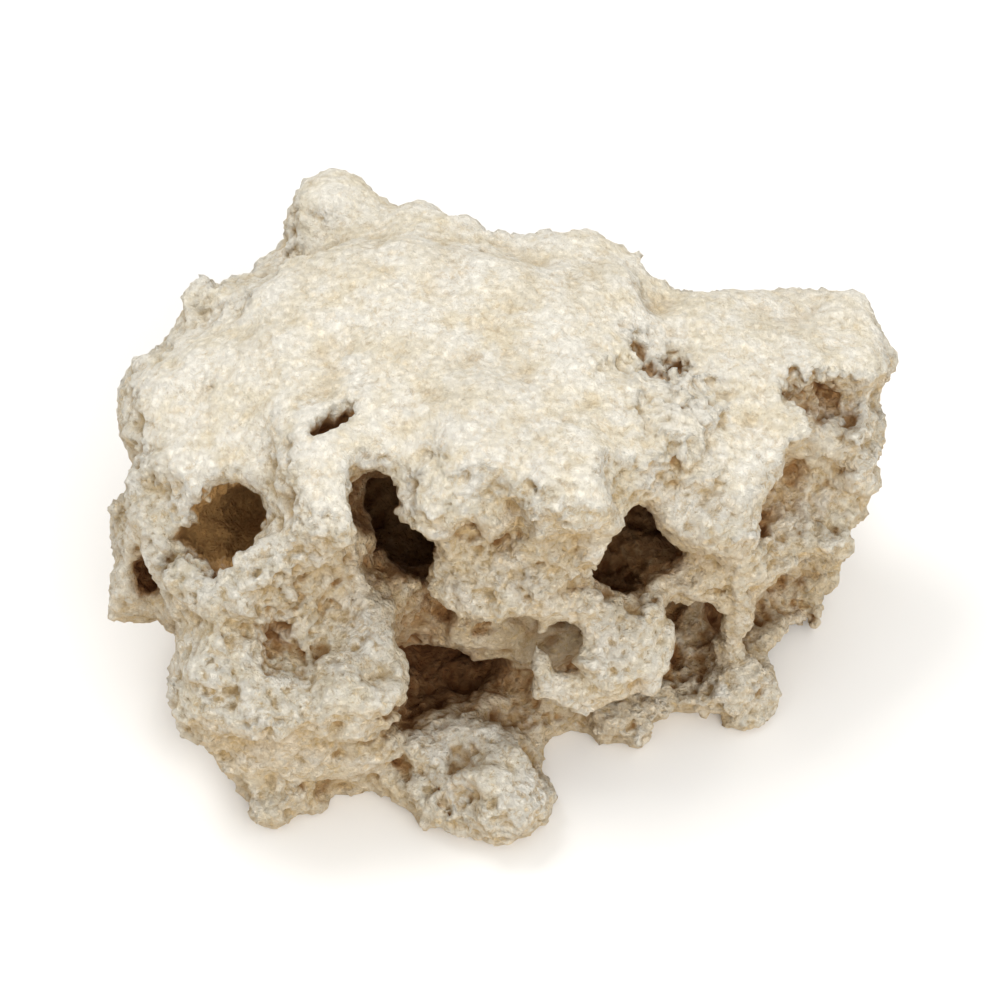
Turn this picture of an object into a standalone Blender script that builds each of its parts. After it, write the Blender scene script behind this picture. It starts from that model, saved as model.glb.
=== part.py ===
"""Dry reef rock: one chunk of old coral limestone for an aquarium, porous, cream coloured and bone dry.

The rock is a single solid. Overlapping lumps give its mass, hollows are cut out of them, the joined skin is
roughened and thinned out, and a level cut leaves the flat patches that it stands on.

Sizes are in millimetres and angles in degrees. X runs to the right across the face with the three windows,
Y runs to the back of the rock and Z up from the surface that it stands on.
"""

import math

import bmesh
import bpy
from mathutils import Euler, Matrix, Vector, noise

MM = 0.001

# Grid of the skin that joins the lumps, and of the finer one that follows the roughening
FUSE_VOXEL = 1.6
SKIN_VOXEL = 1.9
MOST_TRIANGLES = 9300

# The level top is calmer than the rest: where it starts, how far it fades in, and how much crag is left on it
CALM_FROM_Z = 58
CALM_FADE = 10
CALM_SHARE = 0.3

# Relief of each skin: size of its grain, height above and below the skin, and seed
LUMP_SWELL = (28, 5.0, 3)
LUMP_KNOBS = (18, 9.0, 11)
LUMP_SMALL_KNOBS = (10, 6.0, 41)
HOLLOW_SWELL = (11, 4.0, 40)
FLAP_SWELL = (9, 2.5, 9)
HOLE_SWELL = (6, 1.5, 77)
SKIN_PITS = (9, 4.0, 5)
SKIN_KNOBS = (6, 3.6, 23)

# Knobs: how much bolder some are than others, how finely bold and faint mix, and how far they stand out
KNOB_CONTRAST = 1.2
KNOB_MIXING = 0.3
KNOB_LEVEL = 0.35

# Pits: the share of places that have one, how that choice is spread, and how far each reaches in its grain
PIT_SHARE = 0.5
PIT_SPREAD = 7.3
PIT_REACH = 0.55

# Fineness of each ball before it is shaped, and the distance within which two points count as one
BALL_DETAIL = 4
SAME_POINT = 1e-7

LIMESTONE = (0.80, 0.73, 0.61, 1.0)
LIMESTONE_ROUGHNESS = 0.95

# Each lump: centre, half sizes, turn about X, Y and Z, and squareness (2 is an ellipsoid, 6 nearly a block)
LUMPS = {
    "plateau": ((-10, 12, 52), (42, 32, 26), (10, 0, 0), 4.6),
    "plateau_back_rim": ((2, 39, 62), (34, 11, 15), (0, 0, -4), 3.5),
    "left_shoulder": ((-47, 4, 42), (25, 32, 27), (14, -24, 8), 3.6),
    "left_cheek": ((-65, -5, 34), (14, 16, 13), (0, -20, 0), 2.6),
    "back_left_horn": ((-34, 54, 62), (8, 9, 14), (0, 0, 20), 3.0),
    "back_left_knob": ((-55, 33, 60), (11, 10, 9), (0, 0, 0), 2.6),
    "back_left_root": ((-40, 38, 28), (25, 20, 34), (0, 0, 0), 3.2),
    "brow": ((5, -8, 59), (21, 17, 19), (8, 0, 0), 4.2),
    "brow_lip": ((3, -21, 46), (17, 6, 6), (0, 6, -4), 2.6),
    "window_lintel": ((30, -4, 66), (14, 12, 9), (16, 6, 0), 3.0),
    "window_post": ((-34, -12, 58), (9, 14, 18), (10, 0, 0), 3.2),
    "right_block": ((50, 16, 49), (25, 23, 20), (3, 2, 0), 4.2),
    "right_tip": ((69, 26, 57), (11, 15, 11), (0, 0, 20), 3.0),
    "right_cheek": ((44, -6, 47), (13, 14, 16), (16, 0, -12), 3.8),
    "right_ledge": ((61, 8, 51), (12, 6, 4), (0, -6, 8), 2.6),
    "right_wall": ((58, 2, 38), (14, 14, 7), (10, -4, 0), 3.0),
    "back_right_root": ((34, 37, 24), (29, 17, 27), (0, 0, 0), 3.4),
    "back_ledge": ((-6, 48, 44), (28, 8, 7), (0, 8, 6), 2.6),
    "back_foot_left": ((-33, 56, 10), (13, 8, 13), (-10, 0, 0), 2.6),
    "back_shelf": ((42, 52, 30), (15, 9, 8), (0, -14, 0), 2.6),
    "left_side_knob": ((-66, 30, 30), (9, 12, 10), (0, 0, 0), 2.6),
    "core": ((2, 10, 12), (38, 15, 15), (0, 0, 0), 3.2),
    "arch_back_wall": ((56, 3, 16), (17, 11, 19), (0, 0, 42), 3.0),
    "left_terrace": ((-42, -19, 24), (24, 25, 23), (26, -6, 12), 3.8),
    "left_terrace_base": ((-32, -28, 8), (22, 19, 15), (0, 0, 8), 3.4),
    "front_foot": ((-2, -43, 7), (15, 12, 13), (16, 0, -24), 3.0),
    "front_foot_heel": ((-19, -36, 8), (11, 10, 11), (0, 0, 0), 2.8),
    "skirt": ((17, -8, 7), (38, 20, 10), (14, 0, 0), 2.8),
    "right_rim": ((33, -20, 3), (21, 6, 6), (0, 0, 8), 2.8),
}

# Each hollow is cut out of the lumps and is written in the same way
HOLLOWS = {
    "left_window": ((-50, -11, 51), (6, 16, 8), (-45, 0, -6), 3.0),
    "left_window_sill": ((-56, -20, 52), (7, 7, 5), (-30, 0, 20), 2.6),
    "middle_window": ((-19, -9, 47), (8.5, 22, 13), (-45, -18, 0), 3.6),
    "right_window": ((28, -9, 42), (8, 20, 9), (-45, -12, 0), 3.2),
    "right_window_notch": ((19, -15, 56), (7, 10, 3.5), (-40, 10, 0), 2.4),
    "inner_chamber": ((-4, 6, 33), (38, 13, 12), (0, 0, 0), 2.6),
    "back_passage": ((-6, 30, 29), (9, 24, 9), (0, 0, 0), 3.0),
    "chamber_right_end": ((28, 2, 29), (10, 14, 13), (0, 0, 0), 2.6),
    "front_cave": ((-11, -22, 14.5), (13, 20, 7), (-32, -6, 0), 2.8),
    "brow_undercut": ((8, -30, 30), (25, 19, 9), (0, 4, 0), 2.8),
    "right_cave": ((40, -14, 21), (11, 19, 12), (-8, 0, 0), 3.0),
    "right_arch": ((70, -23, 14), (17, 13, 19), (0, 0, 42), 3.2),
    "arch_cove": ((64, -4, 22), (14, 14, 13), (0, 0, 42), 2.6),
    "right_arch_back": ((72, 32, 6), (12, 14, 14), (0, 0, -10), 2.8),
    "side_recess": ((64, -6, 52), (11, 9, 9), (0, 0, 0), 2.8),
    "tip_recess": ((68, 6, 63), (11, 9, 7), (-35, 0, 0), 2.4),
    "plateau_slit": ((-34, -1, 76), (8, 1.6, 7), (0, 0, 42), 2.2),
    "plateau_step": ((33, 30, 78), (5, 22, 8), (0, 0, 10), 2.6),
    "back_hollow_left": ((-47, 58, 30), (6, 12, 7), (14, 24, 0), 2.4),
    "back_hollow_right": ((24, 60, 46), (7, 14, 5), (10, 12, 0), 2.4),
    "back_hollow_low": ((38, 62, 12), (7, 13, 6), (0, 20, 0), 2.2),
    "left_side_hollow": ((-74, 12, 20), (12, 7, 7), (20, 0, 0), 2.4),
    "left_underside": ((-78, -18, 6), (24, 40, 16), (0, -12, 0), 2.6),
    "belly": ((0, 30, -4), (13, 52, 8), (0, 0, 6), 2.4),
    "belly_side": ((0, 6, -4), (90, 12, 8), (0, 0, -4), 2.4),
}

# Thin pieces that stand in front of the hollows, written in the same way
FLAPS = {
    "under_rib": ((0, -15, 23.5), (26, 8.5, 7.5), (30, 16, 0), 2.6),
    "right_sill": ((38, -17, 35), (11, 5, 4), (-30, -14, 0), 2.6),
    "tongue": ((21, -30, 30), (15, 4.5, 15), (-33, 0, 8), 2.8),
    "right_web": ((41, 0, 22), (2.6, 7, 22), (0, -8, 0), 2.4),
    "right_strut": ((49, -16, 24), (3.8, 5, 27), (-14, 0, 0), 2.4),
    "right_nub": ((51, -20, 5), (8, 8, 9), (0, 0, 0), 2.6),
}

# Small holes through the flaps and the skin, written in the same way
HOLES = {
    "tongue_hole": ((14, -26, 31), (4.6, 12, 5.4), (-45, 0, 0), 2.6),
    "terrace_hole_left": ((-69, -14, 36), (5, 12, 4), (-45, 0, 0), 2.4),
    "terrace_hole_middle": ((-60, -24, 32), (4.5, 12, 4.5), (-50, 0, 0), 2.4),
    "terrace_hole_right": ((-49, -24, 39), (4.5, 12, 4), (-50, 0, 0), 2.4),
    "terrace_hole_far": ((-43, -26, 35), (3.5, 12, 3.5), (-50, 0, 0), 2.4),
    "cheek_crevice": ((54, -10, 50), (2.5, 9, 9), (-30, 0, 10), 2.4),
}


def bodies(table):
    """One mesh that holds every lump or hollow of the table, still as separate closed shells."""
    shells = bmesh.new()
    for centre, half, turn, squareness in table.values():
        made = bmesh.ops.create_icosphere(shells, subdivisions=BALL_DETAIL, radius=1.0)["verts"]
        for vertex in made:
            reach = sum(abs(part) ** squareness for part in vertex.co) ** (1 / squareness)
            vertex.co /= reach
        place = Matrix.LocRotScale(
            Vector(centre) * MM,
            Euler([math.radians(angle) for angle in turn]),
            Vector(half) * MM,
        )
        bmesh.ops.transform(shells, matrix=place, verts=made)
    mesh = bpy.data.meshes.new("shells")
    shells.to_mesh(mesh)
    shells.free()
    return mesh


def new_object(name, mesh):
    made = bpy.data.objects.new(name, mesh)
    bpy.context.scene.collection.objects.link(made)
    return made


def remeshed(obj, voxel):
    """Fuses overlapping shells into one skin of even quads."""
    skin = obj.modifiers.new("Skin", "REMESH")
    skin.mode = "VOXEL"
    skin.voxel_size = voxel * MM
    return skin


def bake(obj):
    """Applies every modifier of the object to its mesh."""
    graph = bpy.context.evaluated_depsgraph_get()
    baked = bpy.data.meshes.new_from_object(obj.evaluated_get(graph))
    obj.modifiers.clear()
    obj.data = baked


def swell(place, grain, high, seed):
    """Smooth rise and fall."""
    return high * noise.noise(place / grain + Vector((seed, 0, 0)))


def knobs(place, grain, high, seed):
    """Rounded knobs with sharp creases between them, bolder in some places than in others."""
    spot = place / grain + Vector((seed, 0, 0))
    bold = 1 + KNOB_CONTRAST * noise.noise(spot * KNOB_MIXING)
    return high * bold * (KNOB_LEVEL - noise.voronoi(spot)[0][0] ** 2)


def pits(place, grain, deep, seed):
    """Round pits scattered over part of the skin."""
    spot = place / grain + Vector((seed, 0, 0))
    distances, centres = noise.voronoi(spot)
    if noise.cell(centres[0] * PIT_SPREAD) > PIT_SHARE:
        return 0.0
    return -deep * max(0.0, 1 - (distances[0] / PIT_REACH) ** 2)


def roughen(obj, layers):
    """Moves each point along its normal by the sum of the layers, less on the level top."""
    mesh = obj.data
    normals = [vertex.normal.copy() for vertex in mesh.vertices]
    for vertex, normal in zip(mesh.vertices, normals):
        place = vertex.co / MM
        height = sum(shape(place, grain, high, seed) for shape, grain, high, seed in layers)
        calm = min(1.0, max(0.0, (place.z - CALM_FROM_Z) / CALM_FADE)) * max(0.0, normal.z)
        height *= 1 - (1 - CALM_SHARE) * calm
        vertex.co += normal * height * MM


def fused(name, table, layers):
    """The lumps or hollows of a table as one closed, roughened shell."""
    obj = new_object(name, bodies(table))
    remeshed(obj, FUSE_VOXEL)
    bake(obj)
    roughen(obj, layers)
    remeshed(obj, FUSE_VOXEL)
    bake(obj)
    return obj


def work_in(obj, operation, other):
    """Cuts the other shape out of the object or joins it on, and clears the other shape away."""
    work = obj.modifiers.new("Work", "BOOLEAN")
    work.operation = operation
    work.object = other
    remeshed(obj, FUSE_VOXEL)
    bake(obj)
    bpy.data.objects.remove(other)


def largest_piece(obj):
    """Drops any crumb that the hollows cut loose."""
    shape = bmesh.new()
    shape.from_mesh(obj.data)
    seen = set()
    pieces = []
    for first in shape.verts:
        if first in seen:
            continue
        seen.add(first)
        piece = [first]
        for vertex in piece:
            for edge in vertex.link_edges:
                other = edge.other_vert(vertex)
                if other not in seen:
                    seen.add(other)
                    piece.append(other)
        pieces.append(piece)
    pieces.sort(key=len)
    for crumb in pieces[:-1]:
        bmesh.ops.delete(shape, geom=crumb, context="VERTS")
    shape.to_mesh(obj.data)
    shape.free()


def stand_level(obj):
    """Cuts the rock level at Z = 0, closes the cut with flat patches and centres the rock on the origin."""
    shape = bmesh.new()
    shape.from_mesh(obj.data)
    everything = shape.verts[:] + shape.edges[:] + shape.faces[:]
    bmesh.ops.bisect_plane(
        shape, geom=everything, dist=SAME_POINT, plane_co=(0, 0, 0), plane_no=(0, 0, 1), clear_inner=True
    )
    rim = [edge for edge in shape.edges if edge.is_boundary]
    bmesh.ops.triangle_fill(shape, edges=rim, use_beauty=True, normal=(0, 0, -1))
    bmesh.ops.triangulate(shape, faces=shape.faces[:])
    bmesh.ops.recalc_face_normals(shape, faces=shape.faces[:])
    low = [min(vertex.co[axis] for vertex in shape.verts) for axis in range(2)]
    high = [max(vertex.co[axis] for vertex in shape.verts) for axis in range(2)]
    middle = Vector(((low[0] + high[0]) / 2, (low[1] + high[1]) / 2, 0))
    bmesh.ops.translate(shape, verts=shape.verts[:], vec=-middle)
    shape.to_mesh(obj.data)
    shape.free()
    return middle


def limestone():
    material = bpy.data.materials.new("dry_limestone")
    material.use_nodes = True
    shader = material.node_tree.nodes["Principled BSDF"]
    shader.inputs["Base Color"].default_value = LIMESTONE
    shader.inputs["Roughness"].default_value = LIMESTONE_ROUGHNESS
    shader.inputs["Metallic"].default_value = 0.0
    return material


def main():
    for old in list(bpy.data.objects):
        bpy.data.objects.remove(old)

    rock = fused("reef_rock", LUMPS, [(swell, *LUMP_SWELL), (knobs, *LUMP_KNOBS), (knobs, *LUMP_SMALL_KNOBS)])
    work_in(rock, "DIFFERENCE", fused("hollows", HOLLOWS, [(swell, *HOLLOW_SWELL)]))
    work_in(rock, "UNION", fused("flaps", FLAPS, [(swell, *FLAP_SWELL)]))
    work_in(rock, "DIFFERENCE", fused("holes", HOLES, [(swell, *HOLE_SWELL)]))
    remeshed(rock, SKIN_VOXEL)
    bake(rock)
    roughen(rock, [(pits, *SKIN_PITS), (knobs, *SKIN_KNOBS)])
    remeshed(rock, SKIN_VOXEL)
    bake(rock)
    largest_piece(rock)

    thin = rock.modifiers.new("Thin", "DECIMATE")
    thin.use_collapse_triangulate = True
    thin.ratio = MOST_TRIANGLES / (2 * len(rock.data.polygons))
    bake(rock)
    middle = stand_level(rock)
    print("moved by", [round(part / MM, 1) for part in middle])
    rock.data.materials.append(limestone())


main()
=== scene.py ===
import math

import bmesh
import bpy
import numpy as np
from mathutils import Euler, Matrix, Vector, noise
from mathutils.bvhtree import BVHTree


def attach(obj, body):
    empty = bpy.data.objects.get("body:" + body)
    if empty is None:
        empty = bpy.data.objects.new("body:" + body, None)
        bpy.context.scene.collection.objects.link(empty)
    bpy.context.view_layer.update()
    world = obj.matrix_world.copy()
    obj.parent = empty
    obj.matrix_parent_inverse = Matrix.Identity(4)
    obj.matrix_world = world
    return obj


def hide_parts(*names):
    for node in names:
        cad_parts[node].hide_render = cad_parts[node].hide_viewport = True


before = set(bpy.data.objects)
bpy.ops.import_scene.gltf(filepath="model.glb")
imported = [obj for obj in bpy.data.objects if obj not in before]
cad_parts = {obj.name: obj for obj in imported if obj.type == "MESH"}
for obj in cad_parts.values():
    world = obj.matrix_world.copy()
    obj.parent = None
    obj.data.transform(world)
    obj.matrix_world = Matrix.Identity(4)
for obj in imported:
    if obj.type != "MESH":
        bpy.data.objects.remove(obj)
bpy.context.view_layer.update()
mm = 0.001
print("frame loaded")


# Shared helpers

def ramp(value, start, end):  # 0 before start, 1 after end, smooth between
    share = min(1.0, max(0.0, (value - start) / (end - start)))
    return share * share * (3 - 2 * share)


def applyModifiers(piece):
    graph = bpy.context.evaluated_depsgraph_get()
    final = bpy.data.meshes.new_from_object(piece.evaluated_get(graph))
    piece.modifiers.clear()
    piece.data = final


def smoothedPoints(piece, times):  # where the points would be if the skin were smoothed that often
    ease = piece.modifiers.new("Ease", "SMOOTH")
    ease.factor = 0.5
    ease.iterations = times
    graph = bpy.context.evaluated_depsgraph_get()
    soft = piece.evaluated_get(graph).data
    points = np.empty(len(soft.vertices) * 3, np.float32)
    soft.vertices.foreach_get("co", points)
    piece.modifiers.remove(ease)
    return points.reshape(-1, 3)


def keepOnPoints(piece, name, values):
    layer = piece.data.attributes.new(name, "FLOAT", "POINT")
    layer.data.foreach_set("value", np.asarray(values, np.float32))


# The rock's skin: the solid's shape on a fine grid, with the worm holes, crust and pits too small for it

skin = {
    "noiseSeed": 1796055170,     # for noise_vector, which would follow the clock without one
    "coarseGridMm": 1.0,
    "fineGridMm": 0.8,
    "easing": 4,                 # takes the solid's flat facets out
    "mostTriangles": 190000,
    "slitMm": ((-32, -13.5, 74.4), (6.5, 2.6, 4.4), 42),    # slit in the top: middle, half sizes and turn
    "caveFloorMm": ((-6.5, -14.5, 3.2), (15, 10, 3.2), 0),  # rock that closes the front cave's inner end
    "footMm": 2,                 # the roughness fades in over this height, so the flat patches stay flat
    "calmFromMm": 54,            # the level top is calmer above this height
    "calmToMm": 66,
    "calmFacing": (0.45, 0.85),  # and only where the skin faces up about this much
    "calmShare": 0.25,           # how much of the roughness is left there
    "usualCrumb": 0.9,           # crumbs are this bold on average, and swing by so much from place to place
    "crumbSwing": 1.1,
    "leastCrumb": 0.25,
    "swingMm": 15,
    "zoneHeart": 0.4,            # the share of a zone's reach where it works in full
    "zones": (                   # middle and reach in millimetres, and how much more crumbly it is there
        ((31, -3, 66), 22, 0.8),      # between the level top and the right block
        ((-56, 28, 64), 15, 0.7),     # knob at the back left
        ((-49, -30, 36), 24, 0.55),   # left terrace
        ((64, 2, 58), 18, 0.4),       # recess at the right tip
        ((4, -28, 26), 24, -0.7),     # layered slope under the brow
        ((20, -35, 28), 13, -0.3),    # tongue
    ),
}

wormHoles = {
    "seed": 21,
    "number": 34,
    "spare": 4,             # places tried for each hole
    "lowestMm": 3,
    "radiusMm": (0.9, 2.3),
    "depthMm": (2.5, 7.0),
    "flatness": (0.5, 1.7),
    "lean": 0.6,
    "crowdMm": 22,          # they come in crowds about this far apart
    "bend": 0.35,
    "bends": 1.6,
    "calmFewer": 0.85,      # on the level top there are fewer, narrower and shallower ones
    "calmNarrower": 0.4,
    "calmShallower": 0.5,
    "gridMm": 0.6,
}


def calmAt(z, upward):
    return ramp(z, skin["calmFromMm"], skin["calmToMm"]) * ramp(upward, *skin["calmFacing"])


def addBall(shape, middle, half, turn):
    ball = bmesh.ops.create_icosphere(shape, subdivisions=3, radius=1)["verts"]
    way = Euler((0, 0, math.radians(turn)))
    place = Matrix.LocRotScale(Vector(middle) * mm, way, Vector(half) * mm)
    bmesh.ops.transform(shape, matrix=place, verts=ball)


def copyOfSolid(nodeName, newName):
    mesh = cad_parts[nodeName].data.copy()
    shape = bmesh.new()
    shape.from_mesh(mesh)
    bmesh.ops.remove_doubles(shape, verts=shape.verts, dist=0.001 * mm)
    addBall(shape, *skin["caveFloorMm"])
    shape.to_mesh(mesh)
    shape.free()
    piece = bpy.data.objects.new(newName, mesh)
    bpy.context.scene.collection.objects.link(piece)
    return piece


def onGrid(piece, sizeMm):  # a clean closed skin on an even grid
    grid = piece.modifiers.new("Grid", "REMESH")
    grid.mode = "VOXEL"
    grid.voxel_size = sizeMm * mm


def drillWormHoles(piece):
    chance = np.random.RandomState(wormHoles["seed"])
    faces = [face for face in piece.data.polygons if face.center.z > wormHoles["lowestMm"] * mm]
    areas = np.array([face.area for face in faces])
    picks = chance.choice(len(faces), wormHoles["spare"] * wormHoles["number"], p=areas / areas.sum())
    drills = bmesh.new()
    made = 0
    for pick in picks:
        face = faces[pick]
        calm = calmAt(face.center.z / mm, face.normal.z)
        crowd = 0.5 + noise.noise(face.center / (wormHoles["crowdMm"] * mm))
        wanted = crowd * (1 - wormHoles["calmFewer"] * calm)
        if made == wormHoles["number"] or chance.rand() > wanted:
            continue
        radius = chance.uniform(*wormHoles["radiusMm"]) * mm * (1 - wormHoles["calmNarrower"] * calm)
        depth = chance.uniform(*wormHoles["depthMm"]) * mm * (1 - wormHoles["calmShallower"] * calm)
        lean = Vector(chance.uniform(-wormHoles["lean"], wormHoles["lean"], 3))
        way = (face.normal + lean).normalized().to_track_quat("Z", "Y")
        size = Vector((radius, radius * chance.uniform(*wormHoles["flatness"]), depth))
        balls = bmesh.ops.create_icosphere(drills, subdivisions=2, radius=1)["verts"]
        for ball in balls:
            spot = ball.co * wormHoles["bends"] + Vector((made, 0, 0))
            ball.co += wormHoles["bend"] * noise.noise_vector(spot)
        bmesh.ops.transform(drills, matrix=Matrix.LocRotScale(face.center, way, size), verts=balls)
        made += 1
    addBall(drills, *skin["slitMm"])
    mesh = bpy.data.meshes.new("drills")
    drills.to_mesh(mesh)
    drills.free()
    cutter = bpy.data.objects.new("drills", mesh)
    bpy.context.scene.collection.objects.link(cutter)
    onGrid(cutter, wormHoles["gridMm"])
    applyModifiers(cutter)
    drill = piece.modifiers.new("Drill", "BOOLEAN")
    drill.operation = "DIFFERENCE"
    drill.object = cutter
    applyModifiers(piece)
    bpy.data.objects.remove(cutter)
    print("worm holes drilled:", made)


def zoneAt(place):
    total = 0.0
    for middle, reach, more in skin["zones"]:
        away = (place - Vector(middle)).length
        if away < reach:
            total += more * (1 - ramp(away, skin["zoneHeart"] * reach, reach))
    return total


def crumbs(place, grain, layers):  # rounded crumbs with sharp creases between them, about 0 on average
    return 0.45 - noise.turbulence(place / grain, layers, True, amplitude_scale=0.55, frequency_scale=2.1)


def pits(place, grain, start):  # 1 in the middle of a pit, 0 outside; a higher start leaves fewer pits
    return ramp(noise.noise(place / grain), start, start + 0.25)


def ripples(place, grain):  # a smooth rise and fall with its own grain each way
    return noise.noise(Vector((place.x / grain[0], place.y / grain[1], place.z / grain[2])))


def bedding(place, grain):  # thin layers that dip to the front
    return ripples(Vector((place.x, place.y, place.z + 0.5 * place.y)), grain)


cragSize = {  # all in millimetres: heights along the normal, and the grain that goes with each
    "bend": 2.2, "bendGrain": 5,
    "swell": 1.1, "swellGrain": 12, "swellShift": (3, 0, 0),
    "crumb": 3.5, "crumbGrain": 8, "crumbLayers": 4,
    "pit": 1.8, "pitGrain": 4.2, "pitShift": (0, 40, 0), "pitStart": 0.36,
    "layer": 1.5, "layerGrain": (16, 9, 2.6),
}

crustSize = {
    "bend": 1.3, "bendGrain": 2,
    "crumb": 1.5, "crumbGrain": 3.6, "crumbLayers": 3,
    "grit": 0.55, "gritGrain": 1.5,
    "pit": 0.4, "pitGrain": 2.6, "pitShift": (60, 0, 0), "pitStart": 0.4,
    "ripple": 0.45, "rippleGrain": (6, 2.4, 4),  # only on the calm top
    "layer": 0.6, "layerGrain": (9, 6, 1.2),
}


def crag(place, rough, bold, layered):
    size = cragSize
    bent = place + size["bend"] * noise.noise_vector(place / size["bendGrain"])
    height = size["swell"] * noise.noise(place / size["swellGrain"] + Vector(size["swellShift"]))
    height += rough * bold * size["crumb"] * crumbs(bent, size["crumbGrain"], size["crumbLayers"])
    pitted = bent + Vector(size["pitShift"])
    height -= rough * size["pit"] * pits(pitted, size["pitGrain"], size["pitStart"])
    height += layered * size["layer"] * bedding(place, size["layerGrain"])
    return height


def crust(place, rough, bold, layered):
    size = crustSize
    bent = place + size["bend"] * noise.noise_vector(place / size["bendGrain"])
    height = rough * bold * size["crumb"] * crumbs(bent, size["crumbGrain"], size["crumbLayers"])
    height += size["grit"] * rough * noise.noise(place / size["gritGrain"])
    pitted = bent + Vector(size["pitShift"])
    height -= rough * size["pit"] * pits(pitted, size["pitGrain"], size["pitStart"])
    height += (1 - rough) * size["ripple"] * ripples(place, size["rippleGrain"])
    height += layered * size["layer"] * bedding(place, size["layerGrain"])
    return height


def roughen(piece, heightAt):
    mesh = piece.data
    points = np.empty(len(mesh.vertices) * 3, np.float32)
    mesh.vertices.foreach_get("co", points)
    points = points.reshape(-1, 3)
    normals = np.array([vertex.normal for vertex in mesh.vertices], np.float32)
    heights = np.empty(len(points), np.float32)
    for index, (point, normal) in enumerate(zip(points, normals)):
        place = Vector(point) / mm
        zone = zoneAt(place)
        calm = calmAt(place.z, normal[2]) * (1 - min(1.0, max(0.0, zone)))
        swing = skin["crumbSwing"] * noise.noise(place / skin["swingMm"] + Vector((0, 5, 0)))
        bold = max(skin["leastCrumb"], skin["usualCrumb"] + zone + swing)
        heights[index] = heightAt(place, 1 - (1 - skin["calmShare"]) * calm, bold, max(0.0, -zone))
    underfoot = np.clip(points[:, 2] / (skin["footMm"] * mm), 0, 1)
    points += normals * (heights * underfoot * mm)[:, None]
    points[:, 2] = np.maximum(points[:, 2], 0)
    mesh.vertices.foreach_set("co", points.ravel())
    mesh.update()


def keepLargest(piece):  # drops any speck that lost its hold on the rock
    shape = bmesh.new()
    shape.from_mesh(piece.data)
    seen = set()
    groups = []
    for first in shape.verts:
        if first in seen:
            continue
        seen.add(first)
        group = [first]
        for vertex in group:
            for edge in vertex.link_edges:
                other = edge.other_vert(vertex)
                if other not in seen:
                    seen.add(other)
                    group.append(other)
        groups.append(group)
    groups.sort(key=len)
    specks = [vertex for group in groups[:-1] for vertex in group]
    bmesh.ops.delete(shape, geom=specks, context="VERTS")
    shape.to_mesh(piece.data)
    shape.free()
    print("specks dropped:", len(groups) - 1)


sight = {
    "rays": 20,
    "reachMm": 45,
    "startMm": 0.4,     # above the skin, so that a ray doesn't meet the face that it starts on
    "widest": 0.94,     # 1 would send the last ray out level with the skin
    "farShare": 0.5,    # rock at the end of the reach counts this much less
    "turn": 2.399963,   # the golden angle, which spreads the rays evenly
}


def raysOverSkin():
    ways = []
    for step in range(sight["rays"]):
        height = 1 - (step + 0.5) / sight["rays"] * sight["widest"]
        turn = step * sight["turn"]
        flat = math.sqrt(1 - height * height)
        ways.append(Vector((flat * math.cos(turn), flat * math.sin(turn), height)))
    return ways


def shelterOf(piece):  # by point: how much rock is in sight, and how much sky, each from 0 to 1
    mesh = piece.data
    reach = sight["reachMm"] * mm
    shape = bmesh.new()
    shape.from_mesh(mesh)
    tree = BVHTree.FromBMesh(shape)
    shape.free()
    ways = raysOverSkin()
    mostSky = sum(way.z for way in ways)
    shelter = np.empty(len(mesh.vertices), np.float32)
    sky = np.empty(len(mesh.vertices), np.float32)
    for index, vertex in enumerate(mesh.vertices):
        lean = vertex.normal.to_track_quat("Z", "Y")
        start = vertex.co + vertex.normal * sight["startMm"] * mm
        blocked = 0.0
        bright = 0.0
        for way in ways:
            toward = lean @ way
            distance = tree.ray_cast(start, toward, reach)[3]
            if distance is None:
                bright += max(0.0, toward.z)
            else:
                blocked += 1 - sight["farShare"] * distance / reach
        shelter[index] = blocked / sight["rays"]
        sky[index] = min(1.0, bright / mostSky)
    return shelter, sky


noise.seed_set(skin["noiseSeed"])
reefRock = copyOfSolid("reef_rock", "reef_rock_skin")
onGrid(reefRock, skin["coarseGridMm"])
applyModifiers(reefRock)
drillWormHoles(reefRock)
onGrid(reefRock, skin["coarseGridMm"])
ease = reefRock.modifiers.new("Ease", "SMOOTH")
ease.factor = 0.5
ease.iterations = skin["easing"]
applyModifiers(reefRock)
roughen(reefRock, crag)
onGrid(reefRock, skin["fineGridMm"])
applyModifiers(reefRock)
roughen(reefRock, crust)
print("skin roughened, points:", len(reefRock.data.vertices))
thin = reefRock.modifiers.new("Thin", "DECIMATE")
thin.use_collapse_triangulate = True
thin.ratio = min(1.0, skin["mostTriangles"] / (2 * len(reefRock.data.polygons)))
applyModifiers(reefRock)
keepLargest(reefRock)
print("skin thinned, triangles:", len(reefRock.data.polygons))

points = np.array([vertex.co for vertex in reefRock.data.vertices])
normals = np.array([vertex.normal for vertex in reefRock.data.vertices])
for name, smoothing, fullMm in (("creviceFine", 5, 0.35), ("creviceWide", 60, 1.6)):
    depth = ((smoothedPoints(reefRock, smoothing) - points) * normals).sum(1) / mm
    keepOnPoints(reefRock, name, np.clip(depth / fullMm, -1, 1))
shelter, sky = shelterOf(reefRock)
keepOnPoints(reefRock, "shelter", shelter)
keepOnPoints(reefRock, "sky", sky)
keepOnPoints(reefRock, "calm", [calmAt(point[2] / mm, normal[2]) for point, normal in zip(points, normals)])
print("crevices and shelter measured")


# Shader maths: a Wire is a socket that can be added to, multiplied and so on

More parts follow.
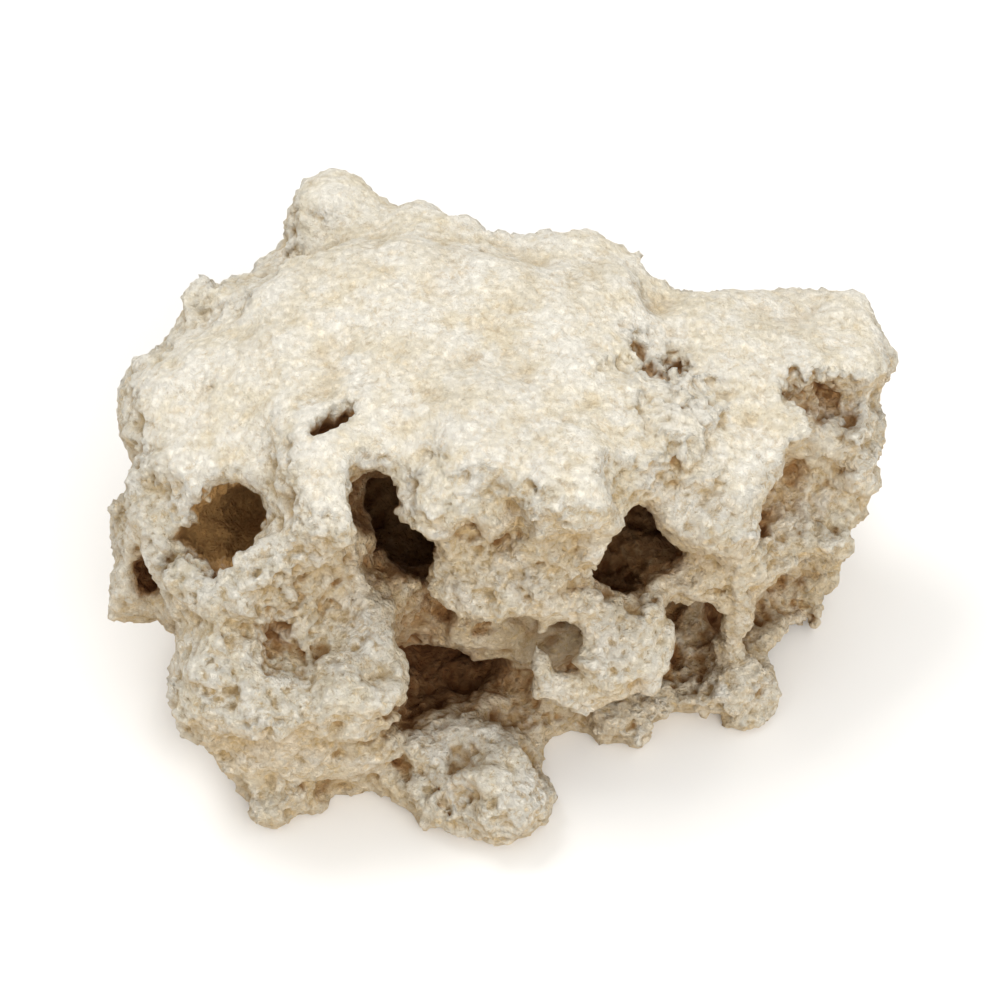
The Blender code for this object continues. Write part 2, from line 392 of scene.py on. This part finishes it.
class Wire:
    def __init__(self, paint, socket):
        self.paint = paint
        self.socket = socket

    def maths(self, operation, first, second):
        return self.paint.node("ShaderNodeMath", {"operation": operation}, {0: first, 1: second})

    def __add__(self, other):
        return self.maths("ADD", self, other)

    def __radd__(self, other):
        return self.maths("ADD", other, self)

    def __sub__(self, other):
        return self.maths("SUBTRACT", self, other)

    def __rsub__(self, other):
        return self.maths("SUBTRACT", other, self)

    def __mul__(self, other):
        return self.maths("MULTIPLY", self, other)

    def __rmul__(self, other):
        return self.maths("MULTIPLY", other, self)


class Paint:
    def __init__(self, name):
        self.material = bpy.data.materials.new(name)
        self.material.use_nodes = True
        self.nodes = self.material.node_tree.nodes
        self.links = self.material.node_tree.links
        self.shader = self.nodes["Principled BSDF"]

    def plug(self, socket, value):
        if isinstance(value, Wire):
            self.links.new(value.socket, socket)
        else:
            socket.default_value = value

    def node(self, kind, settings=None, values=None, out=0):
        made = self.nodes.new(kind)
        for name, value in (settings or {}).items():
            setattr(made, name, value)
        for name, value in (values or {}).items():
            self.plug(made.inputs[name], value)
        return Wire(self, made.outputs[out])

    def clouds(self, place, scale, detail=3.0, roughness=0.6, distortion=0.0):
        values = {"Vector": place, "Scale": scale, "Detail": detail, "Roughness": roughness}
        values["Distortion"] = distortion
        return self.node("ShaderNodeTexNoise", {}, values)

    def near(self, place, spot, radius):  # 1 at the spot, 0 from the radius on
        away = self.node("ShaderNodeVectorMath", {"operation": "DISTANCE"}, {0: place, 1: spot}, out=1)
        return self.between(away, radius, 0.0)

    def cells(self, place, scale):  # 0 at the middle of each cell, rising to its edge
        return self.node("ShaderNodeTexVoronoi", {}, {"Vector": place, "Scale": scale})

    def between(self, value, low, high):  # 0 below low, 1 above high
        values = {"Value": value, "From Min": low, "From Max": high}
        return self.node("ShaderNodeMapRange", {"interpolation_type": "SMOOTHSTEP"}, values)

    def onPoints(self, name):
        return self.node("ShaderNodeAttribute", {"attribute_name": name}, {}, out=2)

    def mix(self, share, first, second):
        return self.node("ShaderNodeMix", {"data_type": "RGBA"}, {0: share, 6: first, 7: second}, out=2)


def fromScreen(red, green, blue):  # a colour as a screen shows it, 0 to 255
    parts = [value / 255 for value in (red, green, blue)]
    return tuple(p / 12.92 if p < 0.04045 else ((p + 0.055) / 1.055) ** 2.4 for p in parts) + (1.0,)


limestone = {
    "chalk": fromScreen(246, 240, 226),
    "cream": fromScreen(236, 224, 198),
    "ash": fromScreen(214, 211, 206),
    "tan": fromScreen(206, 176, 122),
    "olive": fromScreen(172, 142, 94),
    "brown": fromScreen(104, 80, 50),
    # painted shade colours for where little sky is seen and for the caves, and the painted light of the
    # left window
    "shade": fromScreen(214, 180, 124),
    "caveWall": fromScreen(166, 116, 62),
    "caveDeep": fromScreen(122, 72, 34),
    "litCave": fromScreen(214, 166, 104),
    "litSpot": (-0.05, -0.012, 0.048),  # the left window, whose inside is lighter than the others'
    "litReach": 0.024,
    "ashSpot": (0.0, -0.018, 0.066),    # the greyish patch at the top of the brow
    "ashReach": 0.02,
    "toneScale": 120,       # each pattern's scale: the higher, the finer
    "ashScale": 60,
    "grainScale": 620,
    "streakScale": 640,
    "patchScale": 42,
    "gritScale": 1500,
    "lumpScale": 300,
    "bigCrumbScale": 560,
    "smallCrumbScale": 1100,
    "ashCloudShare": 0.15,  # how fully each colour covers what is under it
    "ashPatchShare": 0.6,
    "creviceShadeAndStainShare": 0.6,
    "fleckShare": 0.5,
    "pitShadeAndSpecksShare": 0.5,
    "gritHollowShadeShare": 0.6,
    "wornAndSkyLitShare": 0.6,
    "shadeShare": 0.65,
    "caveWallShare": 0.85,
    "caveDeepShare": 0.92,
    "bumpStrength": 0.95,
    "bumpHeight": 0.0015,
    "roughness": 0.93,
    "shine": 0.25,
}


def makeLimestone():
    stone = limestone
    paint = Paint("dry_limestone_fine")
    place = paint.node("ShaderNodeTexCoord", out=3)
    fine = paint.onPoints("creviceFine")
    wide = paint.onPoints("creviceWide")
    shelter = paint.onPoints("shelter")
    sky = paint.onPoints("sky")
    calm = paint.onPoints("calm")

    # Chalk and cream, with a little grey ash
    tone = paint.between(paint.clouds(place, stone["toneScale"], 5, 0.65), 0.36, 0.66)
    colour = paint.mix(tone, stone["chalk"], stone["cream"])
    ashCloud = paint.between(paint.clouds(place, stone["ashScale"], 5, 0.65), 0.5, 0.66)
    ashPatch = paint.near(place, stone["ashSpot"], stone["ashReach"]) * paint.between(tone, 1.0, 0.2)
    ash = ashCloud * stone["ashCloudShare"] + ashPatch * stone["ashPatchShare"]
    colour = paint.mix(ash, colour, stone["ash"])

    # Tan in the hollows and creases, as painted crevice shade mixed with a grain stain; olive flecks; brown
    # in the pits, as painted shade in the fine creases mixed with brown specks; tan in the low spots of the
    # grit, as painted shade between the grains; chalk on convex edges, as wear with painted light where
    # more sky is seen
    grains = paint.clouds(place, stone["grainScale"], 5, 0.75, 0.8)
    streaks = paint.clouds(place, stone["streakScale"], 4, 0.7, 0.7)
    # painted shade: tan darkens the hollows and creases by their depth, mixed with a grain stain
    creviceShadeAndStain = paint.between(wide + 0.6 * fine + 2.2 * (grains - 0.5), 0.1, 1.1)
    colour = paint.mix(creviceShadeAndStain * stone["creviceShadeAndStainShare"] * (1 - 0.5 * calm), colour, stone["tan"])
    patches = paint.clouds(place, stone["patchScale"], 2, 0.6) - 0.5
    flecks = paint.between(streaks + 0.1 * fine + 0.3 * patches, 0.57, 0.69)
    colour = paint.mix(flecks * stone["fleckShare"] * (1 - 0.4 * calm), colour, stone["olive"])
    # painted shade: brown darkens the fine creases and pits, mixed with brown specks from the grains
    pitShadeAndSpecks = paint.between(fine + 2.4 * (grains - 0.5), 0.55, 1.35)
    colour = paint.mix(pitShadeAndSpecks * stone["pitShadeAndSpecksShare"] * (1 - 0.5 * calm), colour, stone["brown"])
    grit = paint.clouds(place, stone["gritScale"], 3, 0.7) * 0.45 + grains * 1.5
    grit = grit + paint.clouds(place, stone["lumpScale"], 3, 0.6) * 0.8
    # painted shade: tan in the low spots of the grit relief, where the fine bumps fall into shade
    gritHollowShade = paint.between(grit, 1.4, 1.12)
    colour = paint.mix(gritHollowShade * stone["gritHollowShadeShare"] * (1 - 0.5 * calm), colour, stone["tan"])
    # chalk on convex edges: wear, and painted light that grows with how much sky is seen
    wornAndSkyLit = paint.between(0 - fine - 1.6 * (grains - 0.5), 0.1, 0.8) * sky
    colour = paint.mix(wornAndSkyLit * stone["wornAndSkyLitShare"], colour, stone["chalk"])

    # Painted shade: warmer where little sky is seen, and brown in the caves where much rock is in sight;
    # painted light makes the left window's inside lighter
    shade = paint.between(sky + 0.3 * (grains - 0.5), 0.8, 0.15)
    colour = paint.mix(shade * stone["shadeShare"], colour, stone["shade"])
    # painted shade: brown on the cave walls and darker brown deep in the caves, by how much rock is in
    # sight
    caveWall = paint.between(shelter + 0.2 * (grains - 0.5), 0.42, 0.74)
    colour = paint.mix(caveWall * stone["caveWallShare"], colour, stone["caveWall"])
    caveDeep = paint.between(shelter, 0.64, 0.9)
    colour = paint.mix(caveDeep * stone["caveDeepShare"], colour, stone["caveDeep"])
    # painted light: a lighter brown inside the left window, over the painted cave shade
    lit = paint.between(paint.near(place, stone["litSpot"], stone["litReach"]), 0.1, 0.4)
    colour = paint.mix(lit * paint.between(shelter, 0.5, 0.64), colour, stone["litCave"])

    # Grit and crumbs as fine relief, less on the calm top
    bigCrumbs = paint.between(paint.cells(place, stone["bigCrumbScale"]), 0.62, 0.05)
    smallCrumbs = paint.between(paint.cells(place, stone["smallCrumbScale"]), 0.6, 0.05)
    relief = (grit + 0.4 * (bigCrumbs + 0.6 * smallCrumbs)) * (1 - 0.4 * calm)
    bumpValues = {"Strength": stone["bumpStrength"], "Distance": stone["bumpHeight"], "Height": relief}
    bump = paint.node("ShaderNodeBump", {}, bumpValues)
    paint.plug(paint.shader.inputs["Base Color"], colour)
    paint.plug(paint.shader.inputs["Roughness"], stone["roughness"])
    paint.plug(paint.shader.inputs["Specular IOR Level"], stone["shine"])
    paint.plug(paint.shader.inputs["Normal"], bump)
    return paint.material


reefRock.data.materials.clear()
reefRock.data.materials.append(makeLimestone())
for face in reefRock.data.polygons:
    face.use_smooth = True
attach(reefRock, "root")
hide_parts("reef_rock")
print("rock finished")


# Studio: a pale floor, one big soft light high at the back left, and a weak one in front

studio = {
    "floorSize": 6.0,
    "floorColour": (0.93, 0.915, 0.885, 1.0),
    "keyPlace": (-0.45, 0.42, 1.15),
    "keySize": 0.45,
    "keyPower": 5.4,
    "fillPlace": (0.5, -1.1, 0.7),
    "fillSize": 1.2,
    "fillPower": 11.5,
    "skyStrength": 0.86,
}


def makeFloor():
    shape = bmesh.new()
    bmesh.ops.create_grid(shape, x_segments=1, y_segments=1, size=studio["floorSize"] / 2)
    mesh = bpy.data.meshes.new("floor")
    shape.to_mesh(mesh)
    shape.free()
    floor = bpy.data.objects.new("floor", mesh)
    bpy.context.scene.collection.objects.link(floor)
    paint = Paint("pale_floor")
    paint.plug(paint.shader.inputs["Base Color"], studio["floorColour"])
    paint.plug(paint.shader.inputs["Roughness"], 0.8)
    mesh.materials.append(paint.material)


def softLight(name, place, size, power):
    lamp = bpy.data.lights.new(name, "AREA")
    lamp.size = size
    lamp.energy = power
    light = bpy.data.objects.new(name, lamp)
    light.location = place
    light.rotation_euler = (Vector((0, 0, 0.04)) - Vector(place)).to_track_quat("-Z", "Y").to_euler()
    bpy.context.scene.collection.objects.link(light)


makeFloor()
softLight("key", studio["keyPlace"], studio["keySize"], studio["keyPower"])
softLight("fill", studio["fillPlace"], studio["fillSize"], studio["fillPower"])
sky = bpy.data.worlds.new("soft_sky")
sky.use_nodes = True
sky.node_tree.nodes["Background"].inputs["Color"].default_value = (1, 1, 1, 1)
sky.node_tree.nodes["Background"].inputs["Strength"].default_value = studio["skyStrength"]
bpy.context.scene.world = sky
bpy.context.scene.view_settings.view_transform = "Standard"
print("studio lit")


# Camera: the photograph's height above the table, square on to the face with the windows

eye = {
    "elevation": 50,
    "lens": 100,
    "distance": 0.57,
    "lookAt": (0.0, -0.002, 0.038),
}

lens = bpy.data.cameras.new("camera")
lens.lens = eye["lens"]
lens.clip_start = 0.01
camera = bpy.data.objects.new("camera", lens)
high = math.radians(eye["elevation"])
away = Vector((0, -math.cos(high), math.sin(high)))
camera.location = Vector(eye["lookAt"]) + away * eye["distance"]
camera.rotation_euler = away.to_track_quat("Z", "Y").to_euler()
bpy.context.scene.collection.objects.link(camera)
bpy.context.scene.camera = camera
print("camera placed")
